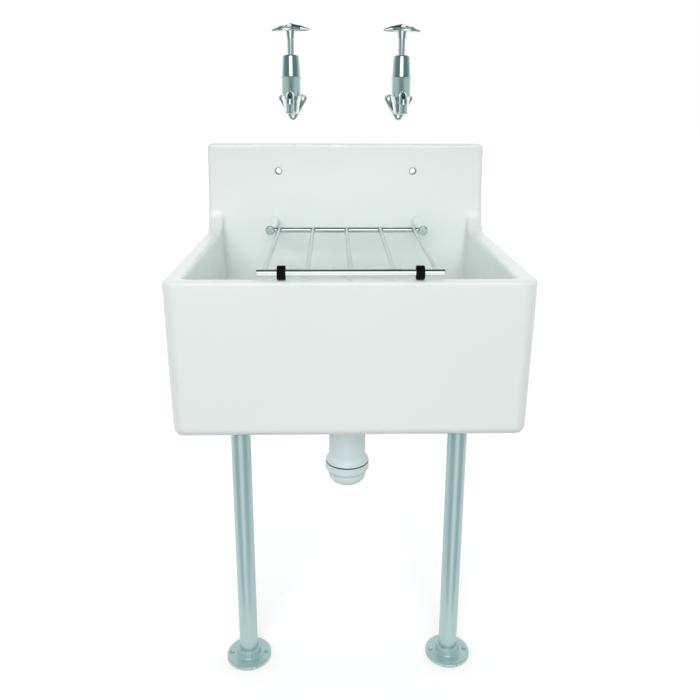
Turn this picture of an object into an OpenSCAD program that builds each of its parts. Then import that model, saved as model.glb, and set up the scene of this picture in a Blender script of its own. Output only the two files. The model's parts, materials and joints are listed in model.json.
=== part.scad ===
// Cleaner's sink: a fireclay bowl with a splashback, a hinged bucket grating, a bottle trap,
// two tubular legs and a pair of bib taps.
// The origin is midway between the two wall-fixing holes, on the wall face. X runs along the wall,
// the room is towards -Y and Z is up. All sizes are millimetres.

/* [Bowl] */
// Width of the sink at its rim
sink_w = 470; // [420:5:560]
// Projection of the sink from the wall
sink_d = 400; // [380:5:460]
// Outside height of the bowl, from its underside to the rim
bowl_h = 212; // [190:1:250]
// Thickness of the bowl's front wall
wall = 17; // [16:1:26]
// Thickness of the bowl's side walls
side_wall = 25; // [18:1:28]
// Thickness of the bowl's floor at the waste
floor_t = 24; // [20:1:30]
// Fall of the floor from its corners to the waste
floor_fall = 8; // [4:1:14]
// Width lost on each side between the rim and the underside
draft = 2.5; // [2:0.5:8]
// Depth of the upright band below the rim, above the draft
band_h = 20; // [16:1:30]
// Corner radius of the rim outside, seen from above
corner_r = 15; // [12:1:24]
// Corner radius of the rim inside, seen from above
inner_corner_r = 11; // [8:1:20]
// Rounding along the edges of the rim
edge_r = 4.5; // [3:0.5:6.5]
// Rounding of the bowl's lower edges outside
base_r = 14; // [10:1:24]
// Rounding between the bowl's walls and its floor
cove_r = 34; // [24:1:44]
// Draft of the bowl's walls inside
inner_draft = 9; // [5:1:14]

/* [Splashback] */
// Height of the splashback above the rim
splash_h = 145; // [125:1:200]
// Thickness of the splashback
splash_t = 22; // [20:1:28]
// Radius of the splashback's top corners
splash_corner_r = 8; // [7:1:20]
// Width lost on each side between the rim and the top of the splashback
splash_draft = 2.5; // [0.5:0.5:4]
// Radius with which the side rims sweep up into the splashback
sweep_r = 38; // [24:1:44]
// Distance between the two wall-fixing holes
fixing_pitch = 228; // [180:1:280]
// Bore of the wall-fixing holes
fixing_d = 10; // [8:0.5:12]
// Height of the wall-fixing holes above the rim
fixing_rise = 99; // [80:1:115]

/* [Grating] */
// Distance between the two hinge posts
post_pitch = 245; // [220:1:300]
// Diameter of a hinge post
post_d = 15; // [13:0.5:18]
// Distance from the splashback to the grating's hinge line
hinge_reach = 90; // [60:1:110]
// Height of the hinge line above the rim
hinge_rise = 14; // [11:0.5:20]
// Diameter of the back bar
back_bar_d = 8.8; // [7:0.1:9.5]
// Diameter of the front bar
front_bar_d = 9.2; // [7:0.1:11]
// Length of the front bar
front_bar_l = 234; // [232:1:260]
// Distance from the front of the sink back to the front bar
front_bar_in = 8; // [7:0.5:14]
// Number of rods
rod_count = 5; // [3:1:9]
// Distance between neighbouring rods
rod_pitch = 54; // [22:1:54]
// Diameter of a rod
rod_d = 6; // [4:0.5:7]
// Outside diameter of a rubber buffer
buffer_d = 18; // [16:0.5:22]
// Width of a rubber buffer
buffer_w = 10.5; // [8:0.5:14]
// Distance between the two buffers
buffer_pitch = 172; // [120:1:200]
// Bore through the splashback for a post's stud
stud_hole_d = 10; // [9:0.5:12]
// Diameter of a post's stud
stud_d = 8; // [6:0.5:8]

/* [Waste and trap] */
// Distance from the wall to the middle of the waste
waste_in = 200; // [180:1:220]
// Bore of the waste hole in the bowl
waste_hole_d = 56; // [52:1:60]
// Diameter of the waste's flange
waste_flange_d = 84; // [78:1:90]
// Diameter of the waste's threaded tail
waste_tail_d = 47.8; // [45:0.1:49]
// Diameter of the trap's body
trap_d = 58; // [56:1:66]
// Diameter of the trap's screwed collar
trap_collar_d = 70; // [69:1:80]
// Depth from the sink's underside to the bottom of the trap
trap_drop = 171; // [166:1:210]
// Bore of the trap's outlet, for the waste pipe
outlet_bore_d = 43.4; // [36:0.1:44]

/* [Legs] */
// Height of the rim above the floor
rim_height = 600; // [500:5:700]
// Distance from the side of the sink in to the middle of each leg
leg_side_in = 84; // [60:1:110]
// Distance from the front of the sink back to the legs
leg_in = 60; // [52:1:90]
// Diameter of a leg tube
leg_d = 26.9; // [22:0.1:30]
// Wall of a leg tube
leg_wall = 2.3; // [1.5:0.1:3.2]
// Diameter of a floor flange
foot_d = 66; // [60:1:76]
// Distance between the two screw holes in a floor flange
foot_hole_pitch = 51; // [49:0.5:53]
// Diameter of the screw holes in a floor flange
foot_hole_d = 5; // [4:0.5:6]
// Diameter of a top flange under the sink
head_d = 56; // [50:1:64]

/* [Taps] */
// Distance between the two taps
tap_pitch = 177; // [140:1:200]
// Height of the taps' inlets above the rim
tap_rise = 208; // [190:1:300]
// Distance from the wall to a tap's spindle
tap_reach = 45; // [40:1:60]
// Diameter of a tap's barrel
barrel_d = 31; // [30:0.5:36]
// Height of the barrel above the inlet
barrel_h = 41; // [40:1:50]
// Height of the spindle cover
cover_h = 35.5; // [35:0.5:40]
// Distance from the spindle forward to the nozzle
nozzle_reach = 48; // [42:1:60]
// Outside diameter of the nozzle
nozzle_d = 12.6; // [11:0.2:14]
// Diameter of the spindle above the cover
spindle_d = 10.8; // [9:0.2:10.8]
// Height of the spindle that shows between the cover and the handle
spindle_gap = 24; // [12:1:30]
// Span of the crosshead handle from tip to tip
handle_span = 65; // [54:1:76]
// Angle by which each crosshead is turned when the tap is shut
handle_turn = 20; // [0:1:45]
// Lift of the jumper from shut to fully open
jumper_lift = 4.8; // [3:0.1:5]
// Diameter of the supply thread in a tap's wall plate
inlet_d = 18.6; // [14:0.1:19]
// Distance of the screw holes from the middle of a tap's wall plate
plate_hole_r = 19.5; // [19:0.5:26]
// Diameter of the screw holes in a tap's wall plate
plate_hole_d = 4.5; // [3.5:0.5:5.5]

/* [Hidden] */

$fn = 64;
soft_fn = 32;
eps = 0.02;
LEFT = -1;
RIGHT = 1;

// Colours
glaze = [0.90, 0.93, 0.92];
chrome_colour = [0.78, 0.81, 0.82];
steel_colour = [0.70, 0.73, 0.74];
leg_colour = [0.64, 0.72, 0.72];
rubber_colour = [0.08, 0.08, 0.08];
brass_colour = [0.78, 0.66, 0.38];
trap_colour = [0.80, 0.85, 0.85];
fibre_colour = [0.35, 0.30, 0.27];
nylon_colour = [0.90, 0.90, 0.88];

// Clearances
seat_gap = 0.3;     // between parts of different bodies that meet at rest
bar_clear = 0.1;    // round the back bar in its posts
turn_clear = 0.08;  // round a turning spindle or jumper stem
screw_clear = 0.15; // round a screwed or pushed-on part

// Levels
rim_z = -fixing_rise;
under_z = rim_z - bowl_h;
top_z = rim_z + splash_h;
ground_z = rim_z - rim_height;
half_w = sink_w / 2;
floor_z = under_z + floor_t;

// A disc with its top face at z = 0, whose top edge is rounded to e
module soft_disc(r, e, t, fn = soft_fn) {
    rotate_extrude($fn = fn) {
        translate([0, -t]) square([r - e, t]);
        translate([0, -t]) square([r, t - e]);
        translate([r - e, -e]) intersection() {
            circle(e, $fn = fn);
            square(e);
        }
    }
}

// A ring round Z between the radii ri and ro, from z0 up to z1
module ring(ro, ri, z0, z1) {
    difference() {
        translate([0, 0, z0]) cylinder(r = ro, h = z1 - z0);
        translate([0, 0, z0 - 1]) cylinder(r = ri, h = z1 - z0 + 2);
    }
}

// Turns a part made round Z so that its top faces the room, from the point [x, z] on the wall
module from_wall(x, z) {
    translate([x, 0, z]) rotate([90, 0, 0]) children();
}

// SINK BODY
inner_w = half_w - side_wall;
front_y = -sink_d;
seat_depth = 4;
seat_clear = 1.5;
recess_d = 30;
recess_depth = 12;
hinge_y = -(splash_t + hinge_reach);
hinge_z = rim_z + hinge_rise;
waste_y = -waste_in;

module bowl_outside() {
    hull() for (side = [LEFT, RIGHT]) {
        translate([side * (half_w - corner_r), front_y + corner_r, rim_z])
            soft_disc(corner_r, edge_r, band_h);
        translate([side * (half_w - edge_r - 1), -edge_r - 1, rim_z])
            soft_disc(edge_r + 1, edge_r, band_h);
        for (y = [front_y + draft + base_r, -base_r])
            translate([side * (half_w - draft - base_r), y, under_z + base_r])
                sphere(base_r, $fn = soft_fn);
    }
}

// The hollow of the bowl. Its back is flush with the face of the splashback.
module bowl_inside() {
    back_corner_r = 7;
    deep_x = inner_w - inner_draft - cove_r;
    hull() {
        for (side = [LEFT, RIGHT]) {
            translate([side * (inner_w - inner_corner_r), front_y + wall + inner_corner_r, rim_z - band_h])
                cylinder(r = inner_corner_r, h = band_h + 1, $fn = soft_fn);
            translate([side * (inner_w - back_corner_r), -splash_t - back_corner_r, rim_z - band_h])
                cylinder(r = back_corner_r, h = band_h + 1, $fn = soft_fn);
            for (y = [front_y + wall + inner_draft + cove_r, -splash_t - cove_r])
                translate([side * deep_x, y, floor_z + floor_fall + cove_r])
                    sphere(cove_r, $fn = soft_fn);
        }
        translate([0, waste_y, floor_z]) cylinder(d = waste_flange_d + 8, h = 1, $fn = soft_fn);
    }
}

// Rounds the inner edge of the rim along the front and the sides, up to where the rim sweeps up
module inner_edge_round() {
    steps = 3;
    back_y = -(splash_t + sweep_r);
    for (i = [0 : steps - 1]) hull() for (k = [i, i + 1]) {
        turn = 90 * k / steps;
        out = edge_r * (1 - cos(turn)) - (k == 0 ? eps : 0);
        z = rim_z - edge_r * (1 - sin(turn));
        lift = k == steps ? 0.5 : eps;
        for (side = [LEFT, RIGHT]) {
            translate([side * (inner_w - inner_corner_r), front_y + wall + inner_corner_r, z])
                cylinder(r = inner_corner_r + out, h = lift, $fn = soft_fn);
            translate([side * (inner_w + out) - (side > 0 ? 1 : 0), back_y - 1, z]) cube([1, 1, lift]);
        }
    }
}

// Carries the rounded rim of one side up into the face of the splashback
module rim_sweep(side) {
    depth = sweep_r * (sqrt(2) - 1) + 1;
    outer = sweep_r + depth;
    start = side > 0 ? inner_w : -half_w;
    translate([start, -(splash_t + sweep_r), rim_z + sweep_r]) rotate([0, 90, 0])
        rotate_extrude(angle = 90) {
            translate([sweep_r + edge_r, 0]) square([depth - edge_r, side_wall]);
            translate([sweep_r, edge_r]) square([depth, side_wall - 2 * edge_r]);
            for (y = [edge_r, side_wall - edge_r]) translate([sweep_r + edge_r, y]) circle(edge_r);
        }
}

module splashback() {
    root = edge_r + 3;
    hull() for (side = [LEFT, RIGHT]) {
        translate([side * (half_w - splash_draft - splash_corner_r), -splash_t, top_z - splash_corner_r])
            rotate([90, 0, 0]) soft_disc(splash_corner_r, edge_r, splash_t);
        translate([side * (half_w - edge_r), edge_r - splash_t, rim_z - root])
            cylinder(r = edge_r, h = root, $fn = soft_fn);
        translate([side * (half_w - edge_r) - edge_r, -1, rim_z - root]) cube([2 * edge_r, 1, root]);
    }
}

module sink_body() {
    color(glaze) difference() {
        union() {
            difference() {
                bowl_outside();
                bowl_inside();
                inner_edge_round();
            }
            splashback();
            for (side = [LEFT, RIGHT]) rim_sweep(side);
        }
        for (side = [LEFT, RIGHT]) {
            from_wall(side * fixing_pitch / 2, 0) {
                translate([0, 0, -1]) cylinder(d = fixing_d, h = splash_t + 2);
                translate([0, 0, splash_t - 1.5]) cylinder(d1 = fixing_d, d2 = fixing_d + 3.2, h = 1.6);
            }
            from_wall(side * post_pitch / 2, hinge_z) {
                translate([0, 0, -1]) cylinder(d = stud_hole_d, h = splash_t + 2);
                translate([0, 0, -1]) cylinder(d = recess_d, h = recess_depth + 1);
            }
        }
        translate([0, waste_y, under_z - 1]) cylinder(d = waste_hole_d, h = floor_t + 2);
        translate([0, waste_y, floor_z - seat_depth])
            cylinder(d = waste_flange_d + 2 * seat_clear, h = seat_depth + 2);
    }
}

// WASTE
waste_washer_t = 1.5;
under_washer_t = 3;
backnut_h = 12;
backnut_d = 66;
tail_below = 34;
tail_wall = 3;
flange_t = 2.5;
seat_z = floor_z - seat_depth;
flange_z = seat_z + waste_washer_t;

module at_waste() {
    translate([0, waste_y, 0]) children();
}

// Flanged grid and threaded tail, turned and drilled in one piece
module waste_body() {
    bore_r = waste_tail_d / 2 - tail_wall;
    slots = 8;
    color(chrome_colour) at_waste() difference() {
        union() {
            translate([0, 0, flange_z + flange_t]) soft_disc(waste_flange_d / 2, 1.2, flange_t, 64);
            translate([0, 0, under_z - tail_below])
                cylinder(d = waste_tail_d, h = flange_z + 1 - under_z + tail_below);
        }
        translate([0, 0, under_z - tail_below - 1])
            cylinder(r = bore_r, h = flange_z - under_z + tail_below + 1);
        for (i = [0 : slots - 1]) rotate([0, 0, 360 * i / slots])
            translate([bore_r * 0.62, 0, flange_z - 1]) {
                for (x = [-4.5, 4.5]) translate([x, 0, 0]) cylinder(d = 5, h = flange_t + 2, $fn = 24);
                translate([-4.5, -2.5, 0]) cube([9, 5, flange_t + 2]);
            }
        translate([0, 0, flange_z - 1]) cylinder(d = 6, h = flange_t + 2, $fn = 24);
    }
}

module waste_seat_washer() {
    color(rubber_colour) at_waste()
        ring(waste_flange_d / 2 - 2, waste_tail_d / 2 + screw_clear, seat_z, flange_z);
}

module waste_under_washer() {
    color(rubber_colour) at_waste()
        ring(backnut_d / 2 + 4, waste_tail_d / 2 + screw_clear, under_z - under_washer_t, under_z);
}

module waste_backnut() {
    top = under_z - under_washer_t;
    color(brass_colour) at_waste() difference() {
        union() {
            translate([0, 0, top - backnut_h]) cylinder(d = backnut_d, h = backnut_h, $fn = 8);
            translate([0, 0, top - 2]) cylinder(d = backnut_d + 4, h = 2);
        }
        translate([0, 0, top - backnut_h - 1])
            cylinder(r = waste_tail_d / 2 + screw_clear, h = backnut_h + 2);
    }
}

// BOTTLE TRAP
trap_wall = 2.6;
neck_r = waste_tail_d / 2 - 4.4;
lip_r = waste_tail_d / 2 - 0.8;
lip_t = 3;
tail_end_z = under_z - tail_below;
inlet_washer_t = 2;
neck_top_z = tail_end_z - inlet_washer_t;
inlet_nut_top_z = tail_end_z + 14;
inlet_nut_lip = 4;
inlet_nut_h = inlet_nut_top_z - (neck_top_z - lip_t - inlet_nut_lip);
trap_top_z = neck_top_z - 20;
trap_bottom_z = under_z - trap_drop;
collar_rise = 36;
collar_h = 13;
collar_top_z = trap_bottom_z + collar_rise;
flare_h = 12;
collar_gap = 1.4;
skirt_h = 14;
skirt_r = trap_d / 2 + 1.6;
cup_r = trap_d / 2 + 1;
outlet_drop = 27;
outlet_z = trap_top_z - outlet_drop;
outlet_r = outlet_bore_d / 2 + 2;
outlet_len = 26;
outlet_nut_len = 22;
outlet_lip_len = 6;
grip_count = 12;

// Moulded grips round a nut of radius r
module grips(r, h) {
    for (i = [0 : grip_count - 1]) rotate([0, 0, 360 * i / grip_count])
        translate([r, 0, 0]) cylinder(d = 4.4, h = h, $fn = 16);
}

module trap_inlet_washer() {
    color(rubber_colour) at_waste() ring(lip_r, neck_r - trap_wall, neck_top_z, tail_end_z);
}

module trap_inlet_nut() {
    bottom = inlet_nut_top_z - inlet_nut_h;
    r = waste_tail_d / 2 + 6;
    color(trap_colour) at_waste() difference() {
        translate([0, 0, bottom]) {
            cylinder(r = r, h = inlet_nut_h);
            grips(r, inlet_nut_h - 5);
        }
        translate([0, 0, bottom + inlet_nut_lip])
            cylinder(r = waste_tail_d / 2 + screw_clear, h = inlet_nut_h);
        translate([0, 0, bottom - 1]) cylinder(r = neck_r + screw_clear, h = inlet_nut_h);
    }
}

// Body with its dip tube, its rear outlet and the thread for the cup
module trap_body() {
    r = trap_d / 2;
    inner_r = r - trap_wall;
    flare_r = trap_collar_d / 2 - 0.5;
    color(trap_colour) at_waste() {
        difference() {
            union() {
                rotate_extrude() polygon([
                    [0, trap_top_z - 3], [r - 5, trap_top_z + 1], [r - 1.5, trap_top_z - 0.5],
                    [r, trap_top_z - 4], [r, collar_top_z + flare_h], [r + 1.8, collar_top_z + 9],
                    [flare_r - 2, collar_top_z + 6], [flare_r - 0.5, collar_top_z + 3.6],
                    [flare_r, collar_top_z + collar_gap + 0.8], [flare_r - 0.4, collar_top_z + collar_gap],
                    [skirt_r, collar_top_z + collar_gap],
                    [skirt_r, collar_top_z - skirt_h], [0, collar_top_z - skirt_h]]);
                translate([0, 0, trap_top_z - 3]) cylinder(r = neck_r, h = neck_top_z - trap_top_z + 3);
                translate([0, 0, neck_top_z - lip_t]) cylinder(r = lip_r, h = lip_t);
                translate([0, 0, outlet_z]) rotate([-90, 0, 0]) cylinder(r = outlet_r, h = r + outlet_len);
            }
            translate([0, 0, collar_top_z - skirt_h - 1])
                cylinder(r = inner_r, h = trap_top_z - trap_wall - collar_top_z + skirt_h - 2);
            translate([0, 0, trap_top_z - 10])
                cylinder(r = neck_r - trap_wall, h = neck_top_z - trap_top_z + 11);
            translate([0, 0, outlet_z]) rotate([-90, 0, 0]) {
                cylinder(r = outlet_bore_d / 2 - 4, h = r + outlet_len + 1);
                translate([0, 0, r + outlet_lip_len]) cylinder(d = outlet_bore_d, h = outlet_len);
            }
        }
        difference() {
            ring(neck_r, neck_r - trap_wall, collar_top_z - skirt_h - 8, trap_top_z - 3);
            translate([0, 0, collar_top_z - skirt_h - 9])
                cylinder(r = neck_r - trap_wall, h = trap_drop);
        }
    }
}

module trap_base_seal() {
    z = collar_top_z - skirt_h;
    color(rubber_colour) at_waste() ring(skirt_r, trap_d / 2 - trap_wall + 0.2, z - 2, z);
}

module trap_cup() {
    collar_r = trap_collar_d / 2;
    seal_z = collar_top_z - skirt_h - 2;
    bottom_r = 15;
    color(trap_colour) at_waste() difference() {
        union() {
            rotate_extrude() difference() {
                union() {
                    polygon([
                        [0, collar_top_z], [collar_r - 1.5, collar_top_z], [collar_r, collar_top_z - 1.5],
                        [collar_r, collar_top_z - collar_h + 2], [collar_r - 1.2, collar_top_z - collar_h],
                        [cup_r, collar_top_z - collar_h - 5], [cup_r, trap_bottom_z + bottom_r],
                        [0, trap_bottom_z + bottom_r]]);
                    translate([collar_r - 1.5, collar_top_z - 1.5]) circle(1.5);
                    translate([0, trap_bottom_z]) square([cup_r - bottom_r, bottom_r + 1]);
                    translate([cup_r - bottom_r, trap_bottom_z + bottom_r]) circle(bottom_r);
                }
                translate([-bottom_r - 1, trap_bottom_z - 1]) square([bottom_r + 1, collar_rise + 2]);
            }
        }
        translate([0, 0, seal_z]) cylinder(r = skirt_r + screw_clear, h = skirt_h + 4);
        translate([0, 0, trap_bottom_z + bottom_r])
            cylinder(r = cup_r - trap_wall - 1, h = seal_z - trap_bottom_z);
        translate([0, 0, trap_bottom_z + trap_wall])
            cylinder(r1 = cup_r - bottom_r, r2 = cup_r - trap_wall - 1, h = bottom_r - trap_wall + eps);
    }
}

module trap_outlet_washer() {
    y = trap_d / 2 + outlet_len;
    color(rubber_colour) at_waste() translate([0, 0, outlet_z]) rotate([-90, 0, 0])
        ring(outlet_r, outlet_bore_d / 2 + screw_clear, y, y + 3);
}

module trap_outlet_nut() {
    end = trap_d / 2 + outlet_len + 3;
    r = outlet_r + 5;
    color(trap_colour) at_waste() translate([0, 0, outlet_z]) rotate([-90, 0, 0]) difference() {
        translate([0, 0, end + 4 - outlet_nut_len]) {
            cylinder(r = r, h = outlet_nut_len);
            grips(r, outlet_nut_len - 5);
        }
        translate([0, 0, end - outlet_nut_len]) cylinder(r = outlet_r + screw_clear, h = outlet_nut_len);
        translate([0, 0, end - 1]) cylinder(r = outlet_bore_d / 2 + screw_clear, h = 8);
    }
}

// LEGS
leg_y = front_y + leg_in;
leg_x = half_w - leg_side_in;
pad_t = 2;
head_plate_t = 3;
boss_wall = 4.6;
boss_d = leg_d + 2 * boss_wall;
foot_plate_t = 5;
foot_boss_h = 14;
head_boss_h = 7;
tube_stop = 2;
grub_d = 4;
leg_bottom_z = ground_z + tube_stop;
leg_top_z = under_z - pad_t - tube_stop;

module at_leg(side) {
    translate([side * leg_x, leg_y, 0]) children();
}

module leg(side) {
    color(leg_colour) at_leg(side) ring(leg_d / 2, leg_d / 2 - leg_wall, leg_bottom_z, leg_top_z);
}

// Turned flange with a socket for the tube, a coved root and a soft outer edge, its base at z = 0
module socket_flange(plate_d, plate_t, boss_h) {
    cove = 3;
    lip = 1.5;
    boss_r = boss_d / 2;
    top = plate_t + boss_h;
    difference() {
        rotate_extrude() difference() {
            union() {
                square([plate_d / 2 - lip, plate_t]);
                square([plate_d / 2, plate_t - lip]);
                translate([plate_d / 2 - lip, plate_t - lip]) circle(lip);
                square([boss_r, top - 1.2]);
                square([boss_r - 1.2, top]);
                translate([boss_r - 1.2, top - 1.2]) circle(1.2);
                translate([boss_r - 1, plate_t - 1]) square([cove + 1, cove + 1]);
            }
            translate([boss_r + cove, plate_t + cove]) circle(cove);
            translate([-10, -1]) square([10, top + 2]);
        }
        translate([0, 0, tube_stop]) cylinder(d = leg_d + 2 * screw_clear, h = top);
        translate([0, 0, plate_t + boss_h / 2]) rotate([-90, 0, 0])
            cylinder(d = grub_d + 0.2, h = boss_d);
    }
}

module foot_flange(side) {
    color(leg_colour) at_leg(side) translate([0, 0, ground_z]) difference() {
        socket_flange(foot_d, foot_plate_t, foot_boss_h);
        for (x = [-1, 1] * foot_hole_pitch / 2) translate([x, 0, 0]) {
            translate([0, 0, -1]) cylinder(d = foot_hole_d, h = foot_plate_t + 2);
            translate([0, 0, foot_plate_t - 1.6]) cylinder(d1 = foot_hole_d, d2 = foot_hole_d + 2.4, h = 1.7);
        }
    }
}

module head_flange(side) {
    color(leg_colour) at_leg(side) translate([0, 0, under_z - pad_t]) mirror([0, 0, 1])
        socket_flange(head_d, head_plate_t, head_boss_h);
}

module leg_pads() {
    color(rubber_colour) for (side = [LEFT, RIGHT]) at_leg(side)
        translate([0, 0, under_z - pad_t]) cylinder(d = head_d - 2, h = pad_t);
}

module leg_grub_screws() {
    length = boss_wall - screw_clear;
    levels = [ground_z + foot_plate_t + foot_boss_h / 2, under_z - pad_t - head_plate_t - head_boss_h / 2];
    color(steel_colour) for (side = [LEFT, RIGHT], z = levels) at_leg(side)
        translate([0, leg_d / 2, z]) rotate([-90, 0, 0]) difference() {
            cylinder(d = grub_d, h = length);
            translate([0, 0, length - 2.5]) cylinder(d = 2.2, h = 3, $fn = 6);
        }
}

// HINGE POSTS
seal_t = 1;
post_nose = 7;
socket_depth = 10;
back_washer_t = 1.6;
nut_h = 6.5;
stud_end = 2;

module at_posts() {
    for (side = [LEFT, RIGHT]) from_wall(side * post_pitch / 2, hinge_z) children();
}

// Turned post with a threaded stud behind and a blind cross hole for the end of the back bar
module post(side) {
    length = hinge_reach + post_nose - seal_t;
    color(chrome_colour) difference() {
        from_wall(side * post_pitch / 2, hinge_z) {
            translate([0, 0, splash_t + seal_t + length]) soft_disc(post_d / 2, 2.2, length, 48);
            translate([0, 0, stud_end]) cylinder(d = stud_d, h = splash_t + seal_t);
        }
        translate([side * (post_pitch / 2 - post_d / 2 - 1), hinge_y, hinge_z]) rotate([0, side * 90, 0])
            cylinder(r = back_bar_d / 2 + bar_clear, h = socket_depth + 1);
    }
}

module post_seal_washers() {
    color(nylon_colour) at_posts() ring(post_d / 2 + 1, stud_d / 2 + screw_clear, splash_t, splash_t + seal_t);
}

module post_back_washers() {
    color(steel_colour) at_posts()
        ring(12, stud_d / 2 + 0.2, recess_depth - back_washer_t, recess_depth);
}

module post_nuts() {
    top = recess_depth - back_washer_t;
    color(steel_colour) at_posts() difference() {
        translate([0, 0, top - nut_h]) cylinder(d = 15, h = nut_h, $fn = 6);
        translate([0, 0, top - nut_h - 1]) cylinder(r = stud_d / 2 + screw_clear, h = nut_h + 2);
    }
}

// GRATING
// The grating lies from the hinge line to its buffers, which rest on the front rim.
front_bar_y = front_y + front_bar_in;
front_bar_z = rim_z + buffer_d / 2 + seat_gap;
reach = norm([front_bar_y - hinge_y, front_bar_z - hinge_z]);
tilt = asin((hinge_z - front_bar_z) / reach);

module in_grating() {
    translate([0, hinge_y, hinge_z]) rotate([tilt, 0, 0]) children();
}

// A round bar along X with soft ends
module bar(d, length) {
    rotate([0, 90, 0]) {
        translate([0, 0, length / 2]) soft_disc(d / 2, 1, length / 2 + 1, 48);
        mirror([0, 0, 1]) translate([0, 0, length / 2]) soft_disc(d / 2, 1, length / 2 + 1, 48);
    }
}

module grating_back_bar() {
    length = post_pitch - post_d + 2 * (socket_depth - 0.5);
    color(steel_colour) in_grating() bar(back_bar_d, length);
}

module grating_front_bar() {
    color(chrome_colour) in_grating() translate([0, -reach, 0]) bar(front_bar_d, front_bar_l);
}

// Rods whose ends are coped to the two bars they are welded to
module grating_rods() {
    first = -(rod_count - 1) / 2;
    color(steel_colour) in_grating() difference() {
        for (i = [0 : rod_count - 1]) translate([(first + i) * rod_pitch, 0, 0])
            rotate([90, 0, 0]) cylinder(d = rod_d, h = reach, $fn = 32);
        rotate([0, 90, 0]) cylinder(d = back_bar_d, h = sink_w, center = true);
        translate([0, -reach, 0]) rotate([0, 90, 0]) cylinder(d = front_bar_d, h = sink_w, center = true);
    }
}

module grating_buffers() {
    color(rubber_colour) in_grating() for (x = [-1, 1] * buffer_pitch / 2)
        translate([x, -reach, 0]) rotate([0, 90, 0]) difference() {
            soft_disc_pair(buffer_d / 2, 1, buffer_w);
            cylinder(r = front_bar_d / 2, h = buffer_w + 2, center = true);
        }
}

// A disc of width w centred on z = 0, with both its edges rounded to e
module soft_disc_pair(r, e, w) {
    translate([0, 0, w / 2]) soft_disc(r, e, w / 2 + 1, 48);
    mirror([0, 0, 1]) translate([0, 0, w / 2]) soft_disc(r, e, w / 2 + 1, 48);
}

// TAPS
// Each tap is made round its spindle, with z = 0 on the axis of its inlet.
tap_z = rim_z + tap_rise;
tap_plate_t = 6;
plate_boss_l = 14;
plate_lobe_r = 6.5;
plate_seat = tap_plate_t + plate_boss_l;
tail_r = 10.3;
tail_l = 10;
tail_washer_t = 1.5;
neck_out_r = 9.6;
chamber_r = barrel_d / 2 - 3.3;
seat_z_tap = 8;
seat_bore_r = 5.5;
nozzle_bend = 14;
nozzle_z = seat_z_tap + 6.5;
nozzle_tip_z = -13;
flange_r = barrel_d / 2 - 1.8;
cover_ring_r = barrel_d / 2 + 1.3;
cover_top = barrel_h + cover_h;
hub_z = cover_top + spindle_gap;
hub_h = 11;
hub_r = 8.6;
crown_r = 9.2;
crown_rise = 3;
thread_r = 6;
thread_top = barrel_h + 7;
guide_z = thread_top + jumper_lift + 1;
packing_z = cover_top - 15;
packing_h = 5;
packing_r = 7.6;
gland_top = cover_top - 3;
washer_z = seat_z_tap + seat_gap;
washer_t = 3.5;
jumper_z = washer_z + washer_t;
jumper_t = 2.5;
headwork_bottom = jumper_z + jumper_t + jumper_lift + 1;
stem_r = 3;
stem_l = 10;
spindle_bottom = jumper_z + jumper_t + seat_gap;
peg_r = spindle_d / 2 - 1.2;
peg_top = hub_z + hub_h + 5;

module at_tap(side) {
    translate([side * tap_pitch / 2, -tap_reach, tap_z]) children();
}

// Three-lobed plate screwed to the wall, with a boss that takes the tap's tail
module wall_plate(side) {
    color(chrome_colour) from_wall(side * tap_pitch / 2, tap_z) difference() {
        union() {
            hull() for (a = [30, 150, 270]) rotate([0, 0, a])
                translate([plate_hole_r, 0, tap_plate_t]) soft_disc(plate_lobe_r, 1.5, tap_plate_t, 24);
            cylinder(r = tail_r + 4, h = plate_seat);
        }
        translate([0, 0, -1]) cylinder(d = inlet_d, h = plate_seat + 2);
        translate([0, 0, plate_seat - tail_l - 0.5]) cylinder(r = tail_r + screw_clear, h = tail_l + 2);
        for (a = [30, 150, 270]) rotate([0, 0, a]) translate([plate_hole_r, 0, 0]) {
            translate([0, 0, -1]) cylinder(d = plate_hole_d, h = tap_plate_t + 2, $fn = 32);
            translate([0, 0, tap_plate_t - 2])
                cylinder(d1 = plate_hole_d, d2 = plate_hole_d + 4, h = 2.1, $fn = 32);
        }
    }
}

module tail_washer(side) {
    color(fibre_colour) from_wall(side * tap_pitch / 2, tap_z)
        ring(tail_r + 3, tail_r + screw_clear, plate_seat, plate_seat + tail_washer_t);
}

// Nozzle that leaves the barrel level, bends down and ends in a bead, or its bore
module nozzle(r, start, tip) {
    bend_y = nozzle_reach - nozzle_bend;
    translate([0, -start, nozzle_z]) rotate([90, 0, 0]) cylinder(r = r, h = bend_y - start);
    translate([0, -bend_y, nozzle_z - nozzle_bend]) rotate([90, 0, -90])
        rotate_extrude(angle = 90) translate([nozzle_bend, 0]) circle(r);
    translate([0, -nozzle_reach, tip]) cylinder(r = r, h = nozzle_z - nozzle_bend - tip);
}

// Upright barrel that narrows to a rounded foot below the inlet
module barrel() {
    r = barrel_d / 2;
    foot_r = r * 0.74;
    foot_edge = 4.5;
    foot_z = -15;
    rotate_extrude() {
        polygon([
            [0, foot_z], [foot_r - foot_edge, foot_z], [foot_r, foot_z + foot_edge], [foot_r + 0.4, -8],
            [r * 0.86, 1.5], [r * 0.96, 8], [r, 13], [r, barrel_h], [0, barrel_h]]);
        translate([foot_r - foot_edge, foot_z + foot_edge]) circle(foot_edge);
    }
}

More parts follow.
